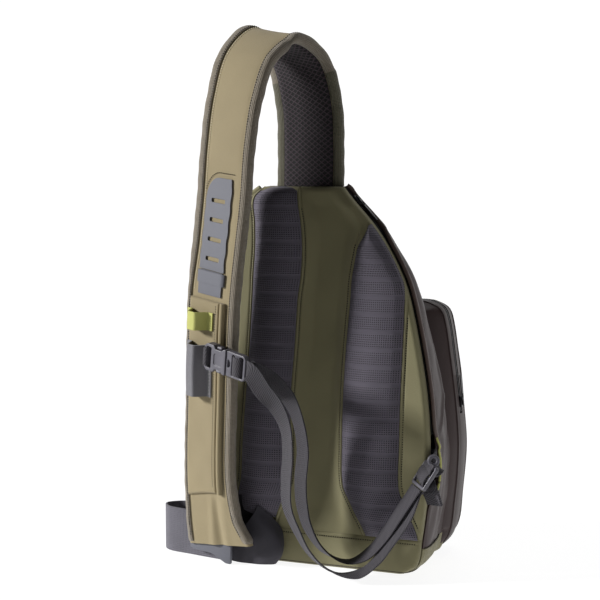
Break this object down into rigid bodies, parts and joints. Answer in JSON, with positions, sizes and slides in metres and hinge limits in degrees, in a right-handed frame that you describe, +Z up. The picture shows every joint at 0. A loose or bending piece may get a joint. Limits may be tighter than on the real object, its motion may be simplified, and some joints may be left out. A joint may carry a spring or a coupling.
{
  "type": "sling bag",
  "caption": "Padded sling bag with one wide shoulder strap, rear pads, front pocket, tool loop, fly sleeve and a buckled stabiliser webbing.",
  "frame": {"origin": "centre of the main shell's flat base, on the floor", "axes": "+X right for someone facing the padded back panel, +Y away from them towards the front pocket, +Z up"},
  "size_m": [0.3348, 0.2348, 0.5755],
  "materials": {
    "brown_coated": "coated woven nylon, slight sheen",
    "olive_nylon": "woven nylon, matt",
    "strap_canvas": "woven nylon canvas, matt",
    "binding": "folded woven tape, matt",
    "grey_mesh": "spacer mesh, matt",
    "dark_mesh": "open spacer mesh, matt",
    "wing_foam": "laminated foam and mesh, matt",
    "grey_webbing": "woven webbing, matt",
    "laminate": "smooth laminated sheet, satin",
    "lime": "woven webbing, matt",
    "zip": "coated zip tape, satin",
    "plastic": "moulded acetal, satin"
  },
  "bodies": {
    "root": {"main_shell": "brown_coated", "base_boot": "olive_nylon", "main_zip": "zip", "main_zip_slider": "plastic", "slot_piping": "lime", "front_pocket": "brown_coated", "pocket_zip": "zip", "pocket_zip_slider": "plastic", "back_panel": "olive_nylon", "panel_band": "olive_nylon", "pad_left": "grey_mesh", "pad_right": "grey_mesh", "strap_pad": "strap_canvas", "strap_lining": "dark_mesh", "strap_binding_left": "binding", "strap_binding_right": "binding", "strap_pouch": "strap_canvas", "strap_cord_edge": "strap_canvas", "strap_ladder": "laminate", "ladder_tab": "laminate", "tool_loop": "lime", "fly_sleeve": "grey_webbing", "buckle_socket": "plastic", "buckle_plug": "plastic", "side_adjuster": "plastic", "buckle_tab": "grey_webbing", "stabiliser_outer": "grey_webbing", "stabiliser_inner": "grey_webbing", "side_anchor": "grey_webbing", "stabiliser_tail": "grey_webbing", "strap_wing": "wing_foam", "wide_webbing": "grey_webbing", "strap_end_tab": "laminate"}
  },
  "joints": []
}
